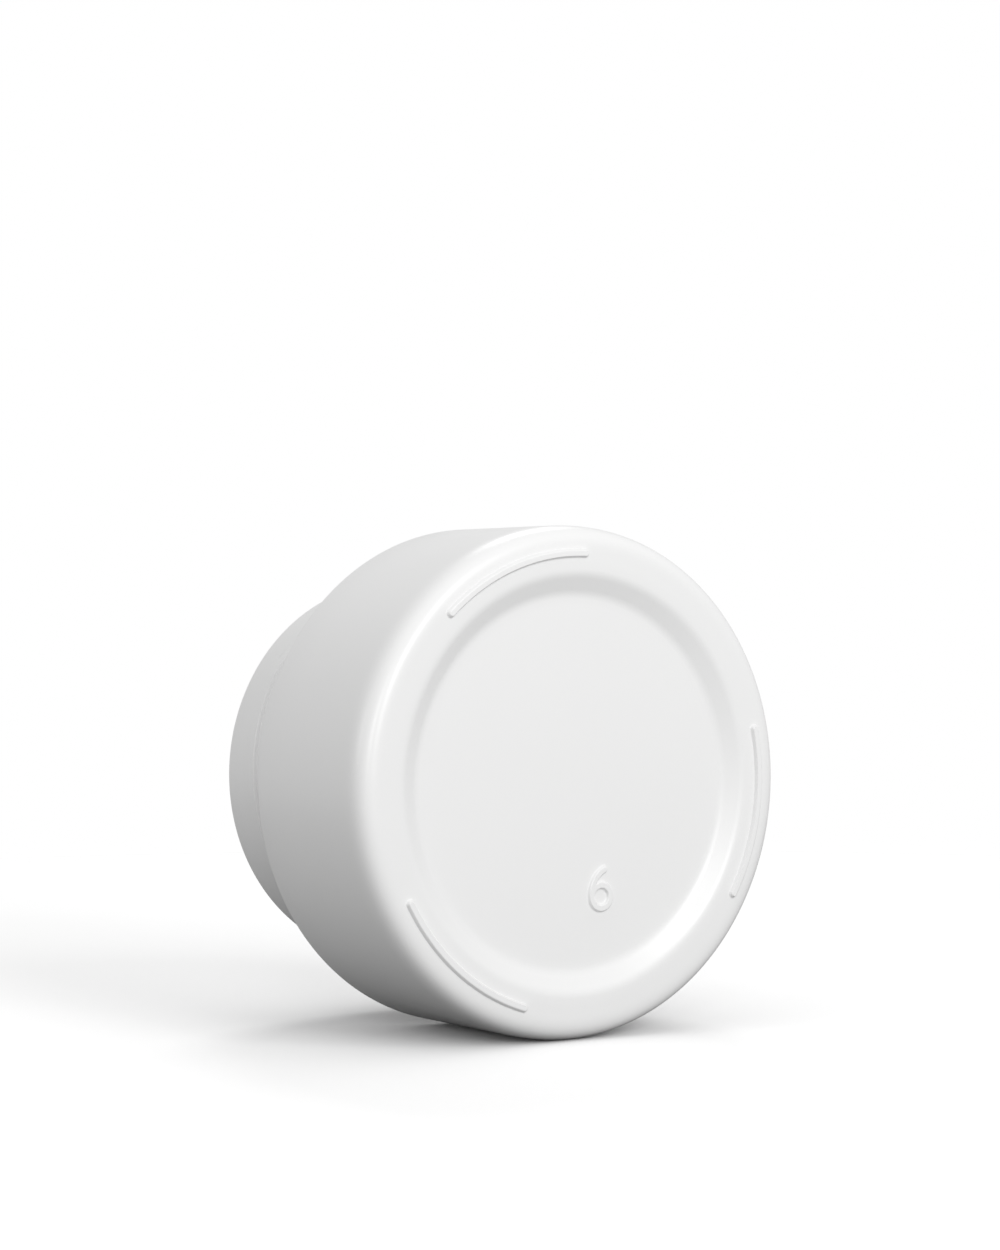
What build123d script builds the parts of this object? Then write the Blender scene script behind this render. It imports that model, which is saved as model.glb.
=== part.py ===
from build123d import *
from math import cos, pi, radians, sin, tan
import os

# Twist pill crusher: a wide round base with a screwed-in knob that carries a crushing head.
# Origin on the table at the centre of the base, +Z up the screw axis, millimetres.
# The knob is drawn 12 mm above its lowest position, where a tablet can be dropped in.

# --- base, outside -----------------------------------------------------------------------
body_r = 30.0            # outer radius of the wide base
body_h = 23.1            # table to the mouth of the base
shoulder_round = 0.4     # small round at the top edge
rib_h = 0.4              # the three foot ribs lift the standing ring by this much
heel_in = 3.3            # radial reach of the rounded heel
heel_up = 4.5            # height of the rounded heel
heel_power = 3.4         # superellipse power of the heel, 2 would be an ellipse
recess_r = 24.3          # outer radius of the recess under the base
panel_r = 22.0           # radius of the flat panel in the recess
panel_z = 1.75           # height of the panel above the table
recess_round = 2.2       # soft rounds at both ends of the recess slope

# --- base, inside ------------------------------------------------------------------------
wall = 2.25              # side wall of the base
gutter_r = 24.9          # lowest line of the gutter between the floor and the side wall
gutter_z = 2.75
gutter_top = 6.2         # where the gutter's round meets the side wall
gutter_round = 3.4
floor_r = 22.9           # edge of the flat floor that the liner stands on
post_count = 6           # upright ribs under the liner's flange
post_w = 1.4
post_gap = 1.0           # from the floor to the foot of a post

# --- foot ribs and cavity number ---------------------------------------------------------
foot_count = 3
foot_r = 26.7            # mid radius of the arc ribs
foot_arc = 44.0          # degrees between the centres of a rib's two round ends
foot_first = 69.5        # middle of the first rib, degrees from +X
foot_w = 1.05            # width where a rib meets the ring
foot_taper = 30.0
number_at = (-3.8, -12.6)
number_turn = 9.0        # degrees that the numeral leans from +Y
number_h = 5.2
number_stroke = 0.78
number_raise = 0.3
bowl_share = 0.335       # radius of the numeral's bowl as a share of its height
hook_share = 0.55        # how far its stem swings over, as a share of the bowl's radius
sink = 0.1               # how deep a raised shape is rooted in the face beneath it

# --- screw -------------------------------------------------------------------------------
thread_starts = 4
thread_lead = 9.0        # rise per turn
thread_pitch = thread_lead / thread_starts
ridge_h = 0.55           # height of the knob's thread
ridge_tip = 1.33         # width of a ridge at its tip
flank = 15.0             # flank angle, degrees
play = 0.21              # radial play between tip and root
end_play = 0.13          # play along the axis on each flank
travel = 12.0            # from the drawn position down to the lowest
ridge_top_z = 35.44      # top edge of a ridge at +X, with the knob as drawn
ridge_end = 50.0         # degrees where the first ridge runs out
ridge_start = 1.6        # from the rim of the skirt to the foot of a knob ridge
liner_ridge_z = 16.2     # lower end of the liner's ridges
liner_ridge_rise = 5.6

# --- knob --------------------------------------------------------------------------------
knob_r = 23.64
knob_top = 41.6
knob_low = 17.7          # lower rim of the skirt
knob_round = 0.9
skirt_r = 21.4           # inside of the skirt
web_z = 32.6             # underside of the web that carries the head
web_t = 2.2
store_r = 20.4           # tablet store above the web
lid_r = 21.5
lid_t = 1.8
plug_depth = 2.2         # rim of the lid that plugs the store
plug_wall = 1.4
pocket_r = 11.0          # two finger pockets in the lid, with a bar between them
pocket_bar = 3.2
pocket_depth = 1.1
pocket_taper = 12.0
web_rib_at = 13.2        # low ribs under the web
web_rib = (10.0, 1.2)
web_rib_h = 0.8
fit = 0.07               # radial running clearance

# --- liner, cup and head -----------------------------------------------------------------
liner_z = 3.4            # the liner stands on the floor of the base
liner_floor = 1.6
liner_wall = 1.7
flange_t = 2.0
flange_gap = 0.05        # between the flange and the wall of the base
cup_r = 18.7             # inside of the crushing cup
cup_wall = 1.6
cup_floor = 2.0
cup_top = 20.2
tooth_h = 0.6
tooth_w = 1.4
tooth_count = 12
tooth_from = 3.2         # radius where the teeth begin
tooth_len = 13.4
tooth_root = 0.3         # how far a tooth is rooted in its face
lug_r = 2.0              # three round lugs under the cup
lug_at = 12.0
lug_h = 0.7
lug_count = 3
lug_gap = 0.1            # clearance of a lug in its socket
home_gap = 0.3           # tooth tip to tooth tip with the knob right down
head_r = 18.5
head_t = 4.2
boss_r = 7.5
stem_r = 3.2
gusset_count = 6
gusset_t = 1.2
gusset_r = 16.0          # outer end of a gusset
gusset_low = 0.5         # its height there
gusset_drop = 2.6        # from the top of the boss to the gusset
stack_play = 0.05        # play of the web between its two washers
washer_t = 1.0
washer_bore = 3.3
retainer_t = 0.8
retainer_r = 6.5
retainer_bore = 1.5
seal_wire = 0.75         # radius of the seal's cord
seal_gap = 0.08          # between the seal and the bore of the cup
groove_w = 1.6

# --- screw of the head -------------------------------------------------------------------
screw_r = 1.25
screw_len = 9.0
screw_play = 0.05
screw_point = (0.4, 1.0)  # radius and length that the tip tapers by
screw_bottom = 0.5       # hole left free beyond the tip
screw_head_r = 2.8
screw_head_h = 2.0
screw_edge_h = 0.8       # straight side of the screw's head
screw_flat_r = 1.4
screw_dome = 2.2
cross = (2.6, 0.6)       # arms of the cross recess
cross_depth = 1.2

# --- edge breaks and rounds inside ---------------------------------------------------------
edge_break = 0.4
mouth_break = 0.5        # lead-in chamfers of the liner and of the skirt
washer_break = 0.15
liner_round = 1.2
cup_round = 1.0

tip_r = knob_r + ridge_h
liner_r = tip_r + play                       # bore of the liner, root of its thread
liner_tip_r = knob_r + play                  # tip of the liner's thread
liner_outer = liner_r + liner_wall
inner_r = body_r - wall
flange_r = inner_r - flange_gap
cup_z = liner_z + liner_floor
teeth_z = cup_z + cup_floor + tooth_h        # tips of the cup's teeth
head_z = teeth_z + home_gap + travel + tooth_h
boss_top = web_z - stack_play - washer_t
stem_top = web_z + web_t + stack_play
bowl_r = number_h * bowl_share
bowl_y = bowl_r - number_h / 2
hook_y = number_h / 2 - number_stroke / 2
seat_z = stem_top + retainer_t
screw_tip_z = seat_z - screw_len
shank_r = screw_r - screw_play
plug_r = store_r - fit
lid_z = knob_top - lid_t


def heel_point(angle):
    """A point of the rounded heel, 0 at the side wall and 90 at the standing ring."""
    across = cos(radians(angle)) ** (2 / heel_power)
    down = sin(radians(angle)) ** (2 / heel_power)
    return (body_r - heel_in * (1 - across), rib_h + heel_up * (1 - down))


def rings(piece, radius):
    """The round edges of one radius, lowest first."""
    circles = piece.edges().filter_by(GeomType.CIRCLE)
    return circles.filter_by(lambda e: abs(e.radius - radius) < 0.01).sort_by(Axis.Z)


def thread_ridges(radius, tip, foot_width, tip_width, z_start, rise, first):
    """The ridges of a multi-start thread, from radius to tip, as separate solids."""
    path = Helix(pitch=thread_lead, height=rise, radius=radius)
    bite = 0.2 if tip > radius else -0.2
    with BuildPart() as ridge:
        with BuildSketch(Plane(path @ 0, x_dir=(1, 0, 0), z_dir=path % 0)):
            with BuildLine():
                Polyline(
                    (-bite, -foot_width / 2),
                    (tip - radius, -tip_width / 2),
                    (tip - radius, tip_width / 2),
                    (-bite, foot_width / 2),
                    close=True,
                )
            make_face()
        sweep(path=path, is_frenet=True)
    start_turn = first - 360 * rise / thread_lead
    return [
        Pos(0, 0, z_start) * Rot(0, 0, start_turn + 360 / thread_starts * k) * ridge.part
        for k in range(thread_starts)
    ]


def radial_teeth(z, up):
    """Triangular teeth that radiate from the middle, on a face at z."""
    tip = tooth_h if up else -tooth_h
    root = -tooth_root if up else tooth_root
    with BuildPart() as teeth:
        for turn in range(tooth_count):
            angle = 360 / tooth_count * turn
            outward = Vector(cos(radians(angle)), sin(radians(angle)), 0)
            start = outward * tooth_from + Vector(0, 0, z)
            with BuildSketch(Plane(start, x_dir=outward.cross(Vector(0, 0, 1)), z_dir=outward)):
                with BuildLine():
                    Polyline((-tooth_w / 2, -root), (tooth_w / 2, -root), (0, -tip), close=True)
                make_face()
            extrude(amount=tooth_len)
    return teeth.part


# --- base shell: smooth moulded cup with a rounded heel and a recess beneath ---------------
with BuildPart() as base_shell:
    with BuildSketch(Plane.XZ):
        with BuildLine():
            Line((0, panel_z), (panel_r, panel_z))
            Line((panel_r, panel_z), (recess_r, rib_h))
            Line((recess_r, rib_h), heel_point(90))
            Spline(*[heel_point(a) for a in (90, 78, 62, 45, 28, 12, 0)], tangents=[(1, 0), (0, 1)])
            Line(heel_point(0), (body_r, body_h))
            Line((body_r, body_h), (inner_r, body_h))
            Line((inner_r, body_h), (inner_r, gutter_top))
            RadiusArc((inner_r, gutter_top), (gutter_r, gutter_z), gutter_round)
            Polyline((gutter_r, gutter_z), (floor_r, liner_z), (0, liner_z), (0, panel_z))
        make_face()
    revolve(axis=Axis.Z)
    fillet(rings(base_shell, recess_r), recess_round)
    fillet(rings(base_shell, panel_r), recess_round)
    fillet(rings(base_shell, body_r)[-1:], shoulder_round)
    # three arc ribs, the faces that the crusher stands on
    with BuildSketch(Plane.XY.offset(rib_h + sink)):
        for k in range(foot_count):
            with BuildLine(mode=Mode.PRIVATE) as foot_line:
                CenterArc((0, 0), foot_r, foot_first + 360 / foot_count * k - foot_arc / 2, foot_arc)
            SlotArc(foot_line.edge(), foot_w + sink)
    extrude(amount=-rib_h - sink, taper=foot_taper)
    # mould cavity numeral, raised on the panel and read from below
    lean = radians(number_turn)
    number_plane = Plane(
        (number_at[0], number_at[1], panel_z + sink),
        x_dir=(-cos(lean), sin(lean), 0),
        z_dir=(0, 0, -1),
    )
    with BuildSketch(number_plane):
        with Locations((0, bowl_y)):
            Circle(bowl_r)
            Circle(bowl_r - number_stroke, mode=Mode.SUBTRACT)
        with BuildLine() as stem_line:
            stem_foot = (number_stroke / 2 - bowl_r, bowl_y)
            TangentArc(stem_foot, (bowl_r * hook_share, hook_y), tangent=(0, 1))
        trace(line_width=number_stroke)
    extrude(amount=number_raise + sink)
    # upright posts inside carry the liner's flange
    post_len = inner_r - liner_outer + sink
    with BuildSketch(Plane.XY.offset(liner_z + post_gap)):
        with PolarLocations(inner_r + sink - post_len / 2 + fit, post_count):
            Rectangle(post_len, post_w)
    extrude(amount=body_h - flange_t - liner_z - post_gap)
base_shell.part.label = "base_shell"

# --- threaded liner: inner cup with a flange that closes the mouth of the shell -------------
with BuildPart() as threaded_liner:
    with BuildSketch(Plane.XZ):
        with BuildLine():
            Polyline(
                (0, liner_z),
                (liner_outer, liner_z),
                (liner_outer, body_h - flange_t),
                (flange_r, body_h - flange_t),
                (flange_r, body_h),
                (liner_r, body_h),
                (liner_r, cup_z),
                (0, cup_z),
                close=True,
            )
        make_face()
    revolve(axis=Axis.Z)
    chamfer(rings(threaded_liner, liner_r)[-1:], mouth_break)
    fillet(rings(threaded_liner, liner_outer)[0:1], liner_round)
    with BuildSketch(Plane.XY.offset(cup_z)):
        with PolarLocations(lug_at, lug_count):
            Circle(lug_r + lug_gap)
    extrude(amount=-lug_h - lug_gap, mode=Mode.SUBTRACT)
    # ridges that mesh midway between the knob's ridges
    liner_tip_w = thread_pitch - ridge_tip - 2 * (ridge_h - play) * tan(radians(flank)) - 2 * end_play
    liner_foot_w = liner_tip_w + 2 * (liner_r - liner_tip_r) * tan(radians(flank))
    mesh_z = ridge_top_z - ridge_tip / 2 - thread_pitch / 2
    start_angle = (liner_ridge_z + liner_ridge_rise - mesh_z) / thread_lead * 360
    for ridge in thread_ridges(
        liner_r, liner_tip_r, liner_foot_w, liner_tip_w, liner_ridge_z, liner_ridge_rise, start_angle
    ):
        add(ridge)
threaded_liner.part.label = "threaded_liner"

# --- crushing cup: lifts out once the knob is off, three lugs keep it from turning -----------
with BuildPart() as crushing_cup:
    with BuildSketch(Plane.XZ):
        with BuildLine():
            Polyline(
                (0, cup_z),
                (cup_r + cup_wall, cup_z),
                (cup_r + cup_wall, cup_top),
                (cup_r, cup_top),
                (cup_r, cup_z + cup_floor),
                (0, cup_z + cup_floor),
                close=True,
            )
        make_face()
    revolve(axis=Axis.Z)
    fillet(rings(crushing_cup, cup_r + cup_wall)[0:1], cup_round)
    chamfer(rings(crushing_cup, cup_r)[-1:], mouth_break)
    add(radial_teeth(cup_z + cup_floor, True))
    with BuildSketch(Plane.XY.offset(cup_z + sink)):
        with PolarLocations(lug_at, lug_count):
            Circle(lug_r)
    extrude(amount=-lug_h - sink)
crushing_cup.part.label = "crushing_cup"

# --- twist knob: threaded skirt below, tablet store above, a web between ---------------------
with BuildPart() as twist_knob:
    with BuildSketch(Plane.XZ):
        with BuildLine():
            Polyline(
                (skirt_r, knob_low),
                (knob_r, knob_low),
                (knob_r, knob_top),
                (lid_r + fit, knob_top),
                (lid_r + fit, lid_z),
                (store_r, lid_z),
                (store_r, web_z + web_t),
                (stem_r + fit, web_z + web_t),
                (stem_r + fit, web_z),
                (skirt_r, web_z),
                close=True,
            )
        make_face()
    revolve(axis=Axis.Z)
    fillet(rings(twist_knob, knob_r)[-1:], knob_round)
    chamfer(rings(twist_knob, knob_r)[0:1], mouth_break)
    fillet(rings(twist_knob, store_r)[0:1], cup_round)
    # low ribs stiffen the web from below, inside the rim of the cup
    with BuildSketch(Plane.XY.offset(web_z + sink)):
        with PolarLocations(web_rib_at, post_count):
            Rectangle(*web_rib)
    extrude(amount=-web_rib_h - sink)
    ridge_z = knob_low + ridge_start
    ridge_rise = ridge_top_z - ridge_tip / 2 + thread_lead * ridge_end / 360 - ridge_z
    ridge_foot = ridge_tip + 2 * ridge_h * tan(radians(flank))
    for ridge in thread_ridges(knob_r, tip_r, ridge_foot, ridge_tip, ridge_z, ridge_rise, ridge_end):
        add(ridge)
twist_knob.part.label = "twist_knob"

# --- crushing head: toothed disc on a boss and stem, hangs in the knob and does not turn -----
with BuildPart() as crushing_head:
    with BuildSketch(Plane.XZ):
        with BuildLine():
            Polyline(
                (0, head_z),
                (head_r, head_z),
                (head_r, head_z + head_t),
                (boss_r, head_z + head_t),
                (boss_r, boss_top),
                (stem_r, boss_top),
                (stem_r, stem_top),
                (0, stem_top),
                close=True,
            )
        make_face()
    revolve(axis=Axis.Z)
    chamfer(rings(crushing_head, head_r), edge_break)
    with BuildSketch(Plane.XZ):
        with Locations((head_r, head_z + head_t / 2)):
            Rectangle(2 * (head_r - cup_r + 2 * seal_wire + seal_gap), groove_w)
    revolve(axis=Axis.Z, mode=Mode.SUBTRACT)
    # gussets from the boss out to the disc
    disc_top = head_z + head_t
    for k in range(gusset_count):
        with BuildSketch(Plane.XZ.rotated((0, 0, 360 / gusset_count * k))):
            with BuildLine():
                Polyline(
                    (boss_r - sink, disc_top - sink),
                    (gusset_r, disc_top - sink),
                    (gusset_r, disc_top + gusset_low),
                    (boss_r - sink, boss_top - gusset_drop),
                    close=True,
                )
            make_face()
        extrude(amount=gusset_t / 2, both=True)
    add(radial_teeth(head_z, False))
    with BuildSketch(Plane.XY.offset(stem_top)):
        Circle(screw_r)
    extrude(amount=-screw_len - screw_bottom, mode=Mode.SUBTRACT)
crushing_head.part.label = "crushing_head"

# --- powder seal: cord ring in the groove of the head ----------------------------------------
with BuildPart() as powder_seal:
    with BuildSketch(Plane.XZ):
        with Locations((cup_r - seal_gap - seal_wire, head_z + head_t / 2)):
            Circle(seal_wire)
    revolve(axis=Axis.Z)
powder_seal.part.label = "powder_seal"

# --- swivel washer between boss and web -------------------------------------------------------
with BuildPart() as swivel_washer:
    with BuildSketch(Plane.XY.offset(boss_top)):
        Circle(boss_r)
        Circle(washer_bore, mode=Mode.SUBTRACT)
    extrude(amount=washer_t)
    chamfer(rings(swivel_washer, boss_r), washer_break)
swivel_washer.part.label = "swivel_washer"

# --- retaining washer and screw hold the head up against the web -------------------------------
with BuildPart() as retaining_washer:
    with BuildSketch(Plane.XY.offset(stem_top)):
        Circle(retainer_r)
        Circle(retainer_bore, mode=Mode.SUBTRACT)
    extrude(amount=retainer_t)
    chamfer(rings(retaining_washer, retainer_r), washer_break)
retaining_washer.part.label = "retaining_washer"

with BuildPart() as head_screw:
    with BuildSketch(Plane.XZ):
        with BuildLine():
            Polyline(
                (0, seat_z + screw_head_h),
                (0, screw_tip_z),
                (shank_r - screw_point[0], screw_tip_z),
                (shank_r, screw_tip_z + screw_point[1]),
                (shank_r, seat_z),
                (screw_head_r, seat_z),
                (screw_head_r, seat_z + screw_edge_h),
            )
            dome_start = (screw_head_r, seat_z + screw_edge_h)
            dome_end = (screw_flat_r, seat_z + screw_head_h)
            RadiusArc(dome_start, dome_end, -screw_dome)
            Line(dome_end, (0, seat_z + screw_head_h))
        make_face()
    revolve(axis=Axis.Z)
    with BuildSketch(Plane.XY.offset(seat_z + screw_head_h)):
        Rectangle(*cross)
        Rectangle(*reversed(cross))
    extrude(amount=-cross_depth, mode=Mode.SUBTRACT)
head_screw.part.label = "head_screw"

# --- top lid: plug lid of the tablet store, two finger pockets leave a bar to hold --------------
with BuildPart() as top_lid:
    with BuildSketch(Plane.XZ):
        with BuildLine():
            Polyline(
                (0, lid_z),
                (plug_r - plug_wall, lid_z),
                (plug_r - plug_wall, lid_z - plug_depth),
                (plug_r, lid_z - plug_depth),
                (plug_r, lid_z),
                (lid_r, lid_z),
                (lid_r, knob_top),
                (0, knob_top),
                close=True,
            )
        make_face()
    revolve(axis=Axis.Z)
    chamfer(rings(top_lid, plug_r)[0:1], edge_break)
    with BuildSketch(Plane.XY.offset(knob_top)):
        Circle(pocket_r)
        Rectangle(pocket_bar, 3 * pocket_r, mode=Mode.SUBTRACT)
    extrude(amount=-pocket_depth, taper=pocket_taper, mode=Mode.SUBTRACT)
top_lid.part.label = "top_lid"

os.makedirs("parts", exist_ok=True)
pieces = [
    base_shell, threaded_liner, crushing_cup, twist_knob, crushing_head,
    powder_seal, swivel_washer, retaining_washer, head_screw, top_lid,
]
for piece in pieces:
    export_step(piece.part, f"parts/{piece.part.label}.step")
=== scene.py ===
from math import atan2, ceil, cos, floor, hypot, pi, radians, sin, sqrt, tan

import bmesh
import bpy
from mathutils import Matrix, Vector


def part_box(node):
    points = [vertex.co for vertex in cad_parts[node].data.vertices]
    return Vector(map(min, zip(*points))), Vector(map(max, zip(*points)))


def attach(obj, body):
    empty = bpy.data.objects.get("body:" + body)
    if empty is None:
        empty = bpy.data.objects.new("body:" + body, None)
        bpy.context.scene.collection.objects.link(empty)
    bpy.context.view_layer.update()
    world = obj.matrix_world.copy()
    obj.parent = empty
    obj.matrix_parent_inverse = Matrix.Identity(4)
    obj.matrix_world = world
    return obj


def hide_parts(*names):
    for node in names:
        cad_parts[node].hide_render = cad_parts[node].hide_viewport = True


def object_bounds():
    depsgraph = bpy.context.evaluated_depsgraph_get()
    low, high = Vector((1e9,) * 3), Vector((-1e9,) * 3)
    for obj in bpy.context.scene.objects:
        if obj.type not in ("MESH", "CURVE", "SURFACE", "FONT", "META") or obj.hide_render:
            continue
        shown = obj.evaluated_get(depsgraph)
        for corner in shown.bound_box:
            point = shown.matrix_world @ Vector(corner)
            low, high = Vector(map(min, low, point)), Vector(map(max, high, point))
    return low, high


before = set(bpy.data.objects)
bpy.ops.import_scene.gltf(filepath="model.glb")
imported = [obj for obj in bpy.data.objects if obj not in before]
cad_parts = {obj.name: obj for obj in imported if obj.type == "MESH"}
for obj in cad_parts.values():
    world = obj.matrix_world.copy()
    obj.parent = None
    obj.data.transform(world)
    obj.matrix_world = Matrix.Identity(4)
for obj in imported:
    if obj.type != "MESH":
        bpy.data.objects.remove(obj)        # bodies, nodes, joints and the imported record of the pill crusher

cad_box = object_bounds()
scene = bpy.context.scene
mm = 0.001

# --- camera ----------------------------------------------------------------------------------
# The crusher lies on its side, so the row's +Y is up for whoever looks at it. The camera is
# near the table, in front of the base and to the side of the screw axis.
camera_at = Vector((202.78, 18.76, -276.03)) * mm
camera_aim = Vector((8.04, 18.36, 5.10)) * mm
camera = bpy.data.objects.new("camera", bpy.data.cameras.new("camera"))
scene.collection.objects.link(camera)
camera.data.lens = 85.13
camera.data.sensor_width = 36
camera.data.clip_start = 0.01
upright = Vector((0, 1, 0))
ahead = (camera_aim - camera_at).normalized()
across = ahead.cross(upright).normalized()
facing = Matrix((across, across.cross(ahead), -ahead)).transposed()
camera.matrix_world = Matrix.Translation(camera_at) @ facing.to_4x4()
scene.camera = camera
scene.view_settings.view_transform = "Standard"


# --- studio ----------------------------------------------------------------------------------
# A wide sheet of matt white card lies under the base's side, in a white room with soft lamps.
# The card is seen from above only, so that it never stands between the crusher and a viewer.
class Wire:
    """A value on its way through a material. + and * add Math nodes, node() adds any other."""

    def __init__(self, tree, socket=None):
        self.tree = tree
        self.socket = socket

    def node(self, kind, settings, inputs, output=0):
        made = self.tree.nodes.new(kind)
        for name, value in settings.items():
            setattr(made, name, value)
        for name, value in inputs.items():
            if isinstance(value, Wire):
                self.tree.links.new(value.socket, made.inputs[name])
            else:
                made.inputs[name].default_value = value
        return Wire(self.tree, made.outputs[output] if len(made.outputs) else None)

    def maths(self, operation, first, second):
        return self.node("ShaderNodeMath", {"operation": operation}, {0: first, 1: second})

    def __add__(self, other):
        return self.maths("ADD", self, other)

    def __mul__(self, other):
        return self.maths("MULTIPLY", self, other)

    __radd__ = __add__
    __rmul__ = __mul__


def start_material(name):
    """A new material with nothing in it, and the wire that its nodes start from."""
    material = bpy.data.materials.new(name)
    material.use_nodes = True
    material.node_tree.nodes.clear()
    return material, Wire(material.node_tree)


card_white = 0.25                   # how much light the card gives back
card_seen = 1.12                    # the same for a viewer, so that it shows as clean white
card_half = 0.5
card_fade = (0.16, 0.34)            # the card thins out to nothing between these distances
card_gap = 0.02 * mm                # keeps the card just clear of the side that rests on it
card_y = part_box("base_shell")[0].y - card_gap
card = bpy.data.objects.new("white_card", bpy.data.meshes.new("white_card"))
scene.collection.objects.link(card)
card.data.from_pydata(
    [(x * card_half, card_y, z * card_half) for x, z in ((-1, -1), (-1, 1), (1, 1), (1, -1))],
    [],
    [(0, 1, 2, 3)],
)
card_material, wire = start_material("white_card")
place = wire.node("ShaderNodeTexCoord", {}, {}, output="Object")
fibre = wire.node("ShaderNodeTexNoise", {}, {"Vector": place, "Scale": 900.0, "Detail": 4.0})
seen_directly = wire.node("ShaderNodeLightPath", {}, {}, output="Is Camera Ray")
white = seen_directly * (card_seen - card_white) + card_white + fibre * 0.01
paper = wire.node("ShaderNodeBsdfDiffuse", {}, {"Color": white})
distance = wire.node(
    "ShaderNodeVectorMath", {"operation": "DISTANCE"}, {0: place, 1: (0, card_y, 0)}, output="Value"
)
thin = wire.node(
    "ShaderNodeMapRange",
    {"interpolation_type": "SMOOTHSTEP"},
    {"Value": distance, "From Min": card_fade[0], "From Max": card_fade[1]},
)
from_below = wire.node("ShaderNodeNewGeometry", {}, {}, output="Backfacing")
clear = wire.node("ShaderNodeBsdfTransparent", {}, {})
hidden = wire.maths("MAXIMUM", thin, from_below)
sheet = wire.node("ShaderNodeMixShader", {}, {0: hidden, 1: paper, 2: clear})
wire.node("ShaderNodeOutputMaterial", {}, {"Surface": sheet})
card.data.materials.append(card_material)

room_seen = 1.0
room_lit = 0.61
world = bpy.data.worlds.new("white_room")
scene.world = world
world.use_nodes = True
world.node_tree.nodes.clear()
wire = Wire(world.node_tree)
seen_directly = wire.node("ShaderNodeLightPath", {}, {}, output="Is Camera Ray")
strength = seen_directly * (room_seen - room_lit) + room_lit
air = wire.node("ShaderNodeBackground", {}, {"Color": (1, 1, 1, 1), "Strength": strength})
wire.node("ShaderNodeOutputWorld", {}, {"Surface": air})

# soft square lamps a metre away, all facing the crusher: degrees round from the camera towards
# its right, degrees above the card, and watts, set so that the tones round the base come right
lamp_away = 1.0
lamp_side = 0.3
lamps = (
    (0, 16, 1.6), (36, 16, 2.8), (45, 33, 1.45), (180, 46, 1.6), (288, 16, 0.6),
)
middle = (cad_box[0] + cad_box[1]) / 2
towards = Vector((-ahead.x, 0, -ahead.z)).normalized()
for turn, rise, watts in lamps:
    level = towards * cos(radians(turn)) + across * sin(radians(turn))
    lamp = bpy.data.objects.new(f"lamp_{turn}", bpy.data.lights.new(f"lamp_{turn}", "AREA"))
    scene.collection.objects.link(lamp)
    lamp.data.shape = "SQUARE"
    lamp.data.size = lamp_side
    lamp.data.energy = watts
    direction = level * cos(radians(rise)) + upright * sin(radians(rise))
    lamp.location = middle + direction * lamp_away
    lamp.rotation_euler = (-direction).to_track_quat("-Z", "Y").to_euler()


# --- base shell ------------------------------------------------------------------------------
# The wide smooth cup that the hand holds: injection-moulded white polypropylene, satin, with a
# rounded heel, a recess beneath, three foot ribs and a raised cavity numeral, all moulded in one.
def soft_step(share):
    """0 up to 0 and 1 from 1, level at both ends."""
    share = min(max(share, 0.0), 1.0)
    return share * share * (3 - 2 * share)


arc_step = radians(12)              # longest step round a rounded corner


def outline(*corners):
    """Points of a closed outline. A corner is (radius, height) or (radius, height, its round)."""
    points = []
    for index, corner in enumerate(corners):
        here = Vector((corner[0], 0, corner[1]))
        if len(corner) == 2:
            points.append(here)
            continue
        last, following = corners[index - 1], corners[(index + 1) % len(corners)]
        back = (Vector((last[0], 0, last[1])) - here).normalized()
        on = (Vector((following[0], 0, following[1])) - here).normalized()
        half = back.angle(on) / 2
        centre = here + (back + on).normalized() * corner[2] / sin(half)
        spokes = [here + way * corner[2] / tan(half) - centre for way in (back, on)]
        steps = max(2, ceil((pi - 2 * half) / arc_step))
        points += [centre + spokes[0].slerp(spokes[1], k / steps) * corner[2] for k in range(steps + 1)]
    return [(point.x, point.z) for point in points]


def spin(bm, points, turns, shape=None, closed=True):
    """Spins an outline round the screw axis. shape(radius, height, turn) may move a point."""
    poles = {k: bm.verts.new((0, 0, z)) for k, (r, z) in enumerate(points) if r < 1e-9}
    columns = []
    for turn in turns:
        column = []
        for k, (r, z) in enumerate(points):
            if k in poles:
                column.append(poles[k])
            else:
                r, z = shape(r, z, turn) if shape else (r, z)
                column.append(bm.verts.new((r * cos(turn), r * sin(turn), z)))
        columns.append(column)
    for first, second in zip(columns, columns[1:] + columns[:1]):
        for k in range(-1 if closed else 0, len(points) - 1):
            corners = dict.fromkeys((first[k], first[k + 1], second[k + 1], second[k]))
            if len(corners) > 2:
                bm.faces.new(corners)


def add_piece(name, bm, material, crease=38):
    """Turns a bmesh into a piece, smooth but for edges sharper than crease, in degrees."""
    bmesh.ops.recalc_face_normals(bm, faces=bm.faces)
    mesh = bpy.data.meshes.new(name)
    bm.to_mesh(mesh)
    bm.free()
    mesh.shade_smooth()
    mesh.set_sharp_from_angle(angle=radians(crease))
    mesh.materials.append(material)
    piece = bpy.data.objects.new(name, mesh)
    scene.collection.objects.link(piece)
    return piece


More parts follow.
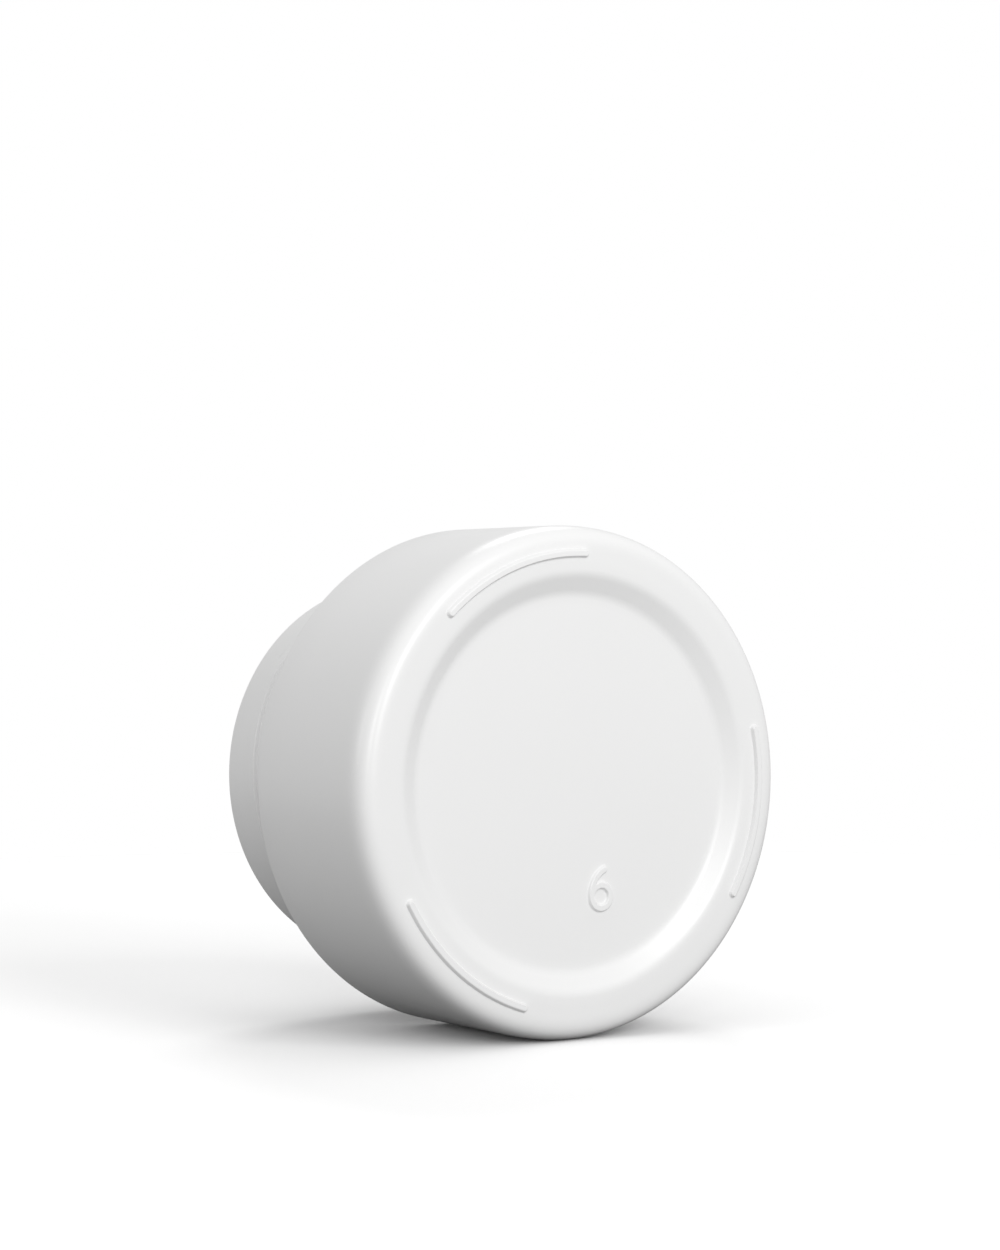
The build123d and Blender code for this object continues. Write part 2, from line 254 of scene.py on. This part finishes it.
def moulded_plastic(name, colour, roughness, grain_mm, grain_depth_mm, mottle=0.012):
    """Injection-moulded plastic: the fine grain of an eroded mould, slow mottling, faint scuffs."""
    material, wire = start_material(name)
    place = wire.node("ShaderNodeTexCoord", {}, {}, output="Object")
    grain = wire.node(
        "ShaderNodeTexNoise", {}, {"Vector": place, "Scale": 1 / (grain_mm * mm), "Detail": 3.0}
    )
    flow = wire.node("ShaderNodeTexNoise", {}, {"Vector": place, "Scale": 60.0, "Detail": 2.0})
    scuffs = wire.node(
        "ShaderNodeTexNoise", {}, {"Vector": place, "Scale": 240.0, "Detail": 6.0, "Distortion": 0.8}
    )
    deep = [c * (1 - mottle) for c in colour]
    pale = [min(c * (1 + mottle), 1) for c in colour]
    tint = wire.node(
        "ShaderNodeMix",
        {"data_type": "RGBA"},
        {"Factor": flow * 0.7 + grain * 0.3, "A": (*deep, 1), "B": (*pale, 1)},
        output="Result",
    )
    relief = wire.node("ShaderNodeBump", {}, {"Height": grain, "Distance": grain_depth_mm * mm})
    plastic = wire.node(
        "ShaderNodeBsdfPrincipled",
        {},
        {
            "Base Color": tint,
            "Roughness": scuffs * 0.10 + grain * 0.06 + (roughness - 0.08),
            "Normal": relief,
            "IOR": 1.49,
        },
    )
    wire.node("ShaderNodeOutputMaterial", {}, {"Surface": plastic})
    return material


base_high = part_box("base_shell")[1]
body_r = base_high.x
body_h = base_high.z
wall = 2.25 * mm
inner_r = body_r - wall
inner_round = 3.0 * mm              # where the inside wall meets the floor
shoulder_round = 0.4 * mm
mouth_round = 0.3 * mm
rib_h = 0.4 * mm                    # the ring of the base stands clear of the table by this
heel_in = 3.3 * mm
heel_up = 4.5 * mm
heel_power = 3.4
heel_spacing = 1.7                  # brings the points of the heel closer towards the ring
recess_r = 24.3 * mm
panel_r = 22.0 * mm
panel_z = 1.75 * mm
recess_round = 2.2 * mm             # at both ends of the recess slope
floor_z = 3.4 * mm                  # inside floor, where the liner stands


def heel_point(share):
    """A point of the heel, a superellipse, from the ring below at 0 to the side wall at 1."""
    angle = pi / 2 * (1 - share**heel_spacing)
    out = max(cos(angle), 0) ** (2 / heel_power)
    return (body_r - heel_in * (1 - out), rib_h + heel_up * (1 - sin(angle) ** (2 / heel_power)))


foot_count = 3
foot_r = body_r - heel_in           # mid radius of the arc ribs
foot_half_arc = radians(22)
foot_first = radians(69.5)
foot_top = 0.29 * mm                # half the width of a rib's flat top
foot_root = 0.56 * mm               # half the width where it meets the ring
foot_middles = [foot_first + 2 * pi / foot_count * k for k in range(foot_count)]


def with_feet(radius, height, turn):
    """Lowers a point of the ring to the face of the nearest foot rib."""
    if height > 2 * rib_h or abs(radius - foot_r) > 2 * foot_root:
        return radius, height
    off = min(abs((turn - middle + pi) % (2 * pi) - pi) for middle in foot_middles)
    away = hypot(radius - foot_r, max(off - foot_half_arc, 0) * foot_r)
    return radius, height * (1 - soft_step((foot_root - away) / (foot_root - foot_top)))


fill_r = 20.0 * mm                  # the panel is open inside this, for the numeral's patch
fill_rim = 0.7 * mm
ring_step = 0.075 * mm              # fine enough for the flanks of the foot ribs
heel_steps = 48
side_mesh = 6 * mm                  # height of the last row of faces on the side
recess = outline(
    (fill_r, panel_z),
    (fill_r + fill_rim, panel_z),
    (panel_r, panel_z, recess_round),
    (recess_r, rib_h, recess_round),
    (foot_r, rib_h),
)[:-1]
ring = [(foot_r + ring_step * k, rib_h) for k in range(-10, 0)]
heel = [heel_point(k / heel_steps) for k in range(heel_steps + 1)]
inside = outline(
    (body_r, body_h - side_mesh),
    (body_r, body_h, shoulder_round),
    (inner_r, body_h, mouth_round),
    (inner_r, floor_z, inner_round),
    (0, floor_z),
)

# even turns round the base, with fine ones added at the round ends of the ribs
even_turns = 240
end_step = radians(0.15)
turns = [2 * pi / even_turns * k for k in range(even_turns)]
for foot_middle in foot_middles:
    for end in (foot_middle - foot_half_arc, foot_middle + foot_half_arc):
        turns += [(end + end_step * k) % (2 * pi) for k in range(-10, 11)]
turns = sorted(set(round(turn, 4) for turn in turns))
bm = bmesh.new()
spin(bm, recess + ring + heel + inside, turns, with_feet, closed=False)

# the numeral's patch: a fine square net of the panel, raised along the strokes of a 6
numeral_at = Vector((-3.8, -12.6, 0)) * mm
numeral_turn = radians(9)           # leans from +Y towards +X
numeral_h = 5.2 * mm
numeral_raise = 0.3 * mm
bowl_share = 0.335                  # radius of its bowl as a share of its height
hook_share = 0.55                   # how far its stem swings over, as a share of the bowl
bowl_r = numeral_h * bowl_share
half_stroke = 0.39 * mm
edge_round = 0.12 * mm
bowl_line = bowl_r - half_stroke
bowl_at = Vector((0, bowl_r - numeral_h / 2))
stem_end = Vector((bowl_r * hook_share, numeral_h / 2 - half_stroke))
stem_reach = stem_end - bowl_at + Vector((bowl_line, 0))
stem_r = stem_reach.length_squared / (2 * stem_reach.x)
stem_at = bowl_at + Vector((stem_r - bowl_line, 0))
stem_stop = atan2(stem_end.y - stem_at.y, stem_end.x - stem_at.x)


def from_stroke(point):
    """How far a point of the patch is from the centre line of the numeral."""
    bowl = abs((point - bowl_at).length - bowl_line)
    turn = atan2(point.y - stem_at.y, point.x - stem_at.x)
    if turn > stem_stop:
        return min(bowl, abs((point - stem_at).length - stem_r))
    return min(bowl, (point - stem_end).length)


net = 0.06 * mm
net_margin = 0.5 * mm
net_x = ceil((bowl_r + net_margin) / net)
net_y = ceil((numeral_h / 2 + net_margin) / net)
reading = Vector((-cos(numeral_turn), sin(numeral_turn), 0))
upward = Vector((sin(numeral_turn), cos(numeral_turn), 0))
patch = {}
for row in range(-net_y, net_y + 1):
    for step in range(-net_x, net_x + 1):
        point = Vector((step * net, row * net))
        raised = soft_step((half_stroke + edge_round - from_stroke(point)) / (2 * edge_round))
        place = numeral_at + reading * point.x + upward * point.y
        place.z = panel_z - numeral_raise * raised
        patch[step, row] = bm.verts.new(place)
for row in range(-net_y, net_y):
    for step in range(-net_x, net_x):
        bm.faces.new([patch[step + x, row + y] for x, y in ((0, 0), (0, 1), (1, 1), (1, 0))])
open_edges = [e for e in bm.edges if e.is_boundary]
bmesh.ops.triangle_fill(bm, edges=open_edges, use_beauty=True, normal=(0, 0, -1))

shell_white = (0.86, 0.86, 0.858)
shell_plastic = moulded_plastic(
    "satin_white_shell", shell_white, roughness=0.32, grain_mm=0.22, grain_depth_mm=0.004
)
shell = add_piece("base_shell_skin", bm, shell_plastic)
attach(shell, "base")
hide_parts("base_shell")


# --- threaded liner --------------------------------------------------------------------------
# A second white cup set into the shell: its flange closes the mouth, and its bore has a coarse
# four-start thread. Moulded round an unscrewing core, so that every edge of the thread is soft.
thread_starts = 4
thread_lead = 9.0 * mm
thread_pitch = thread_lead / thread_starts
run_out = 0.5 * mm                  # rise over which a ridge fades away at each end


def threaded_wall(bm, turns, wall_r, ridge, tip_half, root_half, middle_at_x, low, high, ends):
    """A round wall from low to high with helical ridges that start and stop at the ends.

    ridge is their height, below 0 for inwards, and middle_at_x is one ridge's height at +X."""
    flank_steps = 5
    flank = [tip_half + (root_half - tip_half) * k / flank_steps for k in range(flank_steps + 1)]
    plain = [(root_half * 2 + thread_pitch) / 4, thread_pitch / 2]
    upper = [tip_half / 2] + flank + plain
    section = [-x for x in reversed(upper[:-1])] + [0] + upper
    first = floor((low - thread_lead - middle_at_x) / thread_pitch)
    last = ceil((high - middle_at_x) / thread_pitch) + thread_starts + 1
    rows = [(middle_at_x + thread_pitch * k, x) for k in range(first, last) for x in section]
    per_turn = len(section) * thread_starts
    made = {}

    def vertex(column, row):
        if column == len(turns):
            column, row = 0, row + per_turn
        middle = rows[row][0] + thread_lead * turns[column] / (2 * pi)
        height = middle + rows[row][1]
        if height <= low or height >= high:
            row = "low" if height <= low else "high"
        if (column, row) not in made:
            radius = wall_r
            if row not in ("low", "high"):
                slope = soft_step((root_half - abs(rows[row][1])) / (root_half - tip_half))
                radius += ridge * slope * soft_step(min(middle - ends[0], ends[1] - middle) / run_out)
            height = min(max(height, low), high)
            place = (radius * cos(turns[column]), radius * sin(turns[column]), height)
            made[column, row] = bm.verts.new(place)
        return made[column, row]

    for column in range(len(turns)):
        for row in range(len(rows) - per_turn - 1):
            corners = [vertex(column + x, row + y) for x, y in ((0, 0), (1, 0), (1, 1), (0, 1))]
            corners = list(dict.fromkeys(corners))
            if len(corners) > 2:
                bm.faces.new(corners)


liner_low, liner_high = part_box("threaded_liner")
flange_r = liner_high.x
flange_t = 2.0 * mm
bore_r = 24.4 * mm
liner_wall = 1.7 * mm
liner_r = bore_r + liner_wall
liner_floor = liner_low.z + 1.6 * mm
liner_ridge = 0.55 * mm
liner_tip_half = 0.22 * mm                  # half the width of a ridge at its tip
liner_root_half = 0.39 * mm
thread_low = liner_high.z - 8.1 * mm        # the bore is plain below this
ridges_between = (liner_high.z - 7.0 * mm, liner_high.z - 1.3 * mm)
mouth_bevel = 0.5 * mm
mouth_mesh = 4 * mm                         # height of the last row of faces in the bore
flange_round = 0.25 * mm
liner_rounds = (0.4 * mm, 1.2 * mm, 0.8 * mm)       # under the flange, below, and inside
weld = 0.0005 * mm
knob_middle_at_x = 34.775 * mm              # height at +X of the middle of one ridge of the knob
fine_turns = [2 * pi / 360 * k for k in range(360)]
bm = bmesh.new()
cup = outline(
    (bore_r, liner_high.z - mouth_mesh),
    (bore_r, liner_high.z, mouth_bevel),
    (flange_r, liner_high.z, flange_round),
    (flange_r, liner_high.z - flange_t, flange_round),
    (liner_r, liner_high.z - flange_t, liner_rounds[0]),
    (liner_r, liner_low.z, liner_rounds[1]),
    (0, liner_low.z),
    (0, liner_floor),
    (bore_r, liner_floor, liner_rounds[2]),
    (bore_r, thread_low),
)[1:]
spin(bm, cup, fine_turns, closed=False)
threaded_wall(
    bm, fine_turns, bore_r, -liner_ridge, liner_tip_half, liner_root_half,
    knob_middle_at_x - thread_pitch / 2, thread_low, cup[0][1], ridges_between,
)
bmesh.ops.remove_doubles(bm, verts=bm.verts, dist=weld)
liner_plastic = moulded_plastic(
    "satin_white_liner", shell_white, roughness=0.34, grain_mm=0.25, grain_depth_mm=0.003
)
liner = add_piece("threaded_liner_skin", bm, liner_plastic)
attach(liner, "base")
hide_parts("threaded_liner")


# --- twist knob ------------------------------------------------------------------------------
# The white part that is turned: a skirt with the outer thread, a smooth wall above it to hold,
# a web inside that carries the crushing head, and above the web a store for tablets.
knob_low, knob_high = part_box("twist_knob")
knob_r = 23.64 * mm
ridge_h = knob_high.x - knob_r
skirt_r = 21.4 * mm
store_r = 20.4 * mm
lid_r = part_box("top_lid")[1].x
lid_t = 1.8 * mm
web_z = 32.6 * mm
web_t = 2.2 * mm
stem_hole_r = 3.27 * mm
lid_fit = 0.07 * mm                 # clearance round the lid, and round its plug
lid_seat = knob_high.z - lid_t
knob_round = 0.9 * mm
skirt_bevel = 0.5 * mm
skirt_round = 0.4 * mm
web_round = 0.8 * mm
store_round = 1.0 * mm
seat_round = 0.15 * mm
fine_round = 0.2 * mm
knob_tip_half = 0.62 * mm
knob_root_half = 0.86 * mm
thread_foot = 1.7 * mm              # from the rim of the skirt to the start of the ridges
thread_top = 36.0 * mm              # above this the knob's wall is plain
bm = bmesh.new()
wall_profile = outline(
    (knob_r, knob_low.z + 1 * mm),
    (knob_r, knob_low.z, skirt_bevel),
    (skirt_r, knob_low.z, skirt_round),
    (skirt_r, web_z, web_round),
    (stem_hole_r, web_z, fine_round),
    (stem_hole_r, web_z + web_t, fine_round),
    (store_r, web_z + web_t, store_round),
    (store_r, lid_seat, fine_round),
    (lid_r + lid_fit, lid_seat, seat_round),
    (lid_r + lid_fit, knob_high.z, fine_round),
    (knob_r, knob_high.z, knob_round),
    (knob_r, thread_top + 2 * mm),
)
spin(bm, wall_profile, fine_turns, closed=False)
threaded_wall(
    bm, fine_turns, knob_r, ridge_h, knob_tip_half, knob_root_half, knob_middle_at_x,
    wall_profile[0][1], wall_profile[-1][1], (knob_low.z + thread_foot, thread_top),
)
bmesh.ops.remove_doubles(bm, verts=bm.verts, dist=weld)
knob_plastic = moulded_plastic(
    "satin_white_knob", shell_white, roughness=0.38, grain_mm=0.22, grain_depth_mm=0.005
)
knob = add_piece("twist_knob_skin", bm, knob_plastic)
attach(knob, "knob")
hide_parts("twist_knob")


# --- top lid ---------------------------------------------------------------------------------
# A white plug lid over the tablet store. Two half-round pockets leave a bar between them for
# finger and thumb, and a ring below grips the wall of the store.
lid_low, lid_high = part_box("top_lid")
plug_r = store_r - lid_fit
plug_wall = 1.4 * mm
pocket_r = 11.0 * mm
bar_half = 1.6 * mm
pocket_depth = 1.1 * mm
pocket_corner = 1.3 * mm
lip = 0.25 * mm                     # round of the pocket's lip
lip_reach = 0.6                     # how far it reaches inwards, as a share of its depth
pocket_open = 2 * mm                # the top is open this far round the pockets, for the fill
lid_rounds = (0.35 * mm, 0.15 * mm, 0.2 * mm, 0.4 * mm, 0.3 * mm, 0.5 * mm)


def pocket_loop(bm, side, inset, depth):
    """One level of a finger pocket: a half disc with round corners, on one side of the bar."""
    reach, edge = pocket_r - inset, bar_half + inset
    corner = pocket_corner
    corner_x = edge + corner
    corner_y = sqrt((reach - corner) ** 2 - corner_x**2)
    swing = atan2(corner_y, corner_x)
    outer_steps, corner_steps = 20, 8
    outer = [swing * k / outer_steps for k in range(-outer_steps, outer_steps + 1)]
    inner = [swing + (pi - swing) * k / corner_steps for k in range(1, corner_steps + 1)]
    bend = [(corner_x + corner * cos(turn), corner_y + corner * sin(turn)) for turn in inner]
    points = [(reach * cos(turn), reach * sin(turn)) for turn in outer]
    points += bend + [(x, -y) for x, y in reversed(bend)]
    return [bm.verts.new((side * x, y, lid_high.z - depth)) for x, y in points]


bm = bmesh.new()
lid_profile = outline(
    (pocket_r + pocket_open, lid_high.z),
    (lid_r, lid_high.z, lid_rounds[0]),
    (lid_r, lid_high.z - lid_t, lid_rounds[1]),
    (plug_r, lid_high.z - lid_t, lid_rounds[2]),
    (plug_r, lid_low.z, lid_rounds[3]),
    (plug_r - plug_wall, lid_low.z, lid_rounds[4]),
    (plug_r - plug_wall, lid_high.z - lid_t, lid_rounds[5]),
    (0, lid_high.z - lid_t),
)
spin(bm, lid_profile, fine_turns[::2], closed=False)
# a pocket goes down over a rounded lip, a slanted wall and a soft corner: (inset, depth)
bends = [1 - cos(radians(a)) for a in (0, 30, 60, 90)]
levels = [(lip_reach * lip * bend, lip - lip * sqrt(1 - bend**2)) for bend in bends]
levels.append((0.30 * mm, pocket_depth - lip))
levels.append((0.45 * mm, pocket_depth - 0.07 * mm))
levels.append((0.70 * mm, pocket_depth))
for side in (-1, 1):
    loops = [pocket_loop(bm, side, inset, depth) for inset, depth in levels]
    for upper, lower in zip(loops, loops[1:]):
        for k in range(len(upper)):
            bm.faces.new((upper[k - 1], upper[k], lower[k], lower[k - 1]))
    bm.faces.new(loops[-1])
rim_edges = [e for e in bm.edges if e.is_boundary]
bmesh.ops.triangle_fill(bm, edges=rim_edges, use_beauty=True, normal=(0, 0, 1))
lid_plastic = moulded_plastic(
    "satin_white_lid", shell_white, roughness=0.36, grain_mm=0.22, grain_depth_mm=0.004
)
lid = add_piece("top_lid_skin", bm, lid_plastic)
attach(lid, "lid")
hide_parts("top_lid")


# --- crushing cup ----------------------------------------------------------------------------
# The cup that the tablet lies in, with a ring of teeth on its floor. It lifts out of the liner.
# Moulded in natural nylon, a little yellow and waxy.
def finish_node(node, material):
    """Gives a piece of the frame its own finish."""
    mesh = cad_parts[node].data
    mesh.materials.clear()
    mesh.materials.append(material)


nylon = (0.80, 0.78, 0.72)
cup_nylon = moulded_plastic(
    "natural_nylon_cup", nylon, roughness=0.46, grain_mm=0.30, grain_depth_mm=0.006, mottle=0.03
)
finish_node("crushing_cup", cup_nylon)


# --- crushing head ---------------------------------------------------------------------------
# The toothed disc that comes down on the tablet, on a boss and stem that hang in the knob, so that
# it presses and does not turn. The same nylon, a little rougher.
head_nylon = moulded_plastic(
    "natural_nylon_head", nylon, roughness=0.50, grain_mm=0.30, grain_depth_mm=0.008, mottle=0.03
)
finish_node("crushing_head", head_nylon)


# --- powder seal -----------------------------------------------------------------------------
# A grey silicone cord ring in the groove round the head. It wipes the wall of the cup, so that
# no powder gets above the head; talc from handling leaves it patchy and matt.
seal_low, seal_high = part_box("powder_seal")
cord_r = (seal_high.z - seal_low.z) / 2
cord_middle = (seal_low.z + seal_high.z) / 2
cord_sides = 24
cord_turns = [2 * pi / cord_sides * k for k in range(cord_sides)]
cord_line = [
    (seal_high.x - cord_r + cord_r * cos(turn), cord_middle + cord_r * sin(turn))
    for turn in cord_turns
]
bm = bmesh.new()
spin(bm, cord_line, fine_turns[::2])
silicone, wire = start_material("grey_silicone")
place = wire.node("ShaderNodeTexCoord", {}, {}, output="Object")
talc = wire.node("ShaderNodeTexNoise", {}, {"Vector": place, "Scale": 420.0, "Detail": 5.0})
drag = wire.node("ShaderNodeTexNoise", {}, {"Vector": place, "Scale": 5200.0, "Detail": 2.0})
grey = wire.node(
    "ShaderNodeMix",
    {"data_type": "RGBA"},
    {"Factor": talc, "A": (0.50, 0.51, 0.52, 1), "B": (0.68, 0.69, 0.70, 1)},
    output="Result",
)
pores = wire.node("ShaderNodeBump", {}, {"Height": drag, "Distance": 0.006 * mm})
rubber = wire.node(
    "ShaderNodeBsdfPrincipled",
    {},
    {"Base Color": grey, "Roughness": talc * 0.25 + 0.45, "Normal": pores, "IOR": 1.41},
)
wire.node("ShaderNodeOutputMaterial", {}, {"Surface": rubber})
seal = add_piece("powder_seal_ring", bm, silicone)
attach(seal, "head")
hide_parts("powder_seal")


# --- swivel washer ---------------------------------------------------------------------------
# A smooth washer of white acetal between the head and the web, which lets the knob turn on the
# head. The turning has polished rings into its faces.
def washer(name, node, hole_r, edge, material):
    """A flat ring the size of its node, with rounded edges."""
    low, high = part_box(node)
    bm = bmesh.new()
    corners = [(high.x, low.z), (high.x, high.z), (hole_r, high.z), (hole_r, low.z)]
    spin(bm, outline(*[(*corner, edge) for corner in corners]), fine_turns[::4])
    piece = add_piece(name, bm, material)
    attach(piece, "head")
    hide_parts(node)


def turned_rings(wire, spacing):
    """Fine rings round the screw axis, as a lathe or wear leaves them."""
    place = wire.node("ShaderNodeTexCoord", {}, {}, output="Object")
    flat = wire.node("ShaderNodeVectorMath", {"operation": "MULTIPLY"}, {0: place, 1: (1, 1, 0)})
    radius = wire.node("ShaderNodeVectorMath", {"operation": "LENGTH"}, {0: flat}, output="Value")
    return wire.node(
        "ShaderNodeTexNoise", {"noise_dimensions": "1D"}, {"W": radius * (1 / spacing), "Detail": 3.0}
    )


acetal, wire = start_material("white_acetal")
rings = turned_rings(wire, 0.15 * mm)
cream = wire.node(
    "ShaderNodeMix",
    {"data_type": "RGBA"},
    {"Factor": rings, "A": (0.84, 0.84, 0.81, 1), "B": (0.88, 0.88, 0.86, 1)},
    output="Result",
)
worn = wire.node("ShaderNodeBump", {}, {"Height": rings, "Distance": 0.004 * mm})
slippery = wire.node(
    "ShaderNodeBsdfPrincipled",
    {},
    {"Base Color": cream, "Roughness": rings * 0.15 + 0.18, "Normal": worn, "IOR": 1.48},
)
wire.node("ShaderNodeOutputMaterial", {}, {"Surface": slippery})
acetal_bore = 3.3 * mm
acetal_edge = 0.18 * mm
washer("swivel_washer_ring", "swivel_washer", acetal_bore, acetal_edge, acetal)


# --- retaining washer ------------------------------------------------------------------------
# A disc of turned stainless steel on top of the head's stem. It overlaps the edge of the hole in
# the web and so holds the head up.
stainless, wire = start_material("turned_stainless")
rings = turned_rings(wire, 0.08 * mm)
place = wire.node("ShaderNodeTexCoord", {}, {}, output="Object")
stain = wire.node("ShaderNodeTexNoise", {}, {"Vector": place, "Scale": 500.0, "Detail": 4.0})
steel_tint = wire.node(
    "ShaderNodeMix",
    {"data_type": "RGBA"},
    {"Factor": stain, "A": (0.56, 0.56, 0.57, 1), "B": (0.66, 0.66, 0.66, 1)},
    output="Result",
)
cut = wire.node("ShaderNodeBump", {}, {"Height": rings, "Distance": 0.005 * mm})
steel = wire.node(
    "ShaderNodeBsdfPrincipled",
    {},
    {
        "Base Color": steel_tint,
        "Metallic": 1.0,
        "Roughness": rings * 0.20 + stain * 0.10 + 0.16,
        "Normal": cut,
    },
)
wire.node("ShaderNodeOutputMaterial", {}, {"Surface": steel})
steel_bore = 1.5 * mm
steel_edge = 0.12 * mm
washer("retaining_washer_ring", "retaining_washer", steel_bore, steel_edge, stainless)


# --- head screw ------------------------------------------------------------------------------
# A round-headed screw with a cross recess, of the same steel. It goes down into the stem of the
# head and clamps the washer.
finish_node("head_screw", stainless)
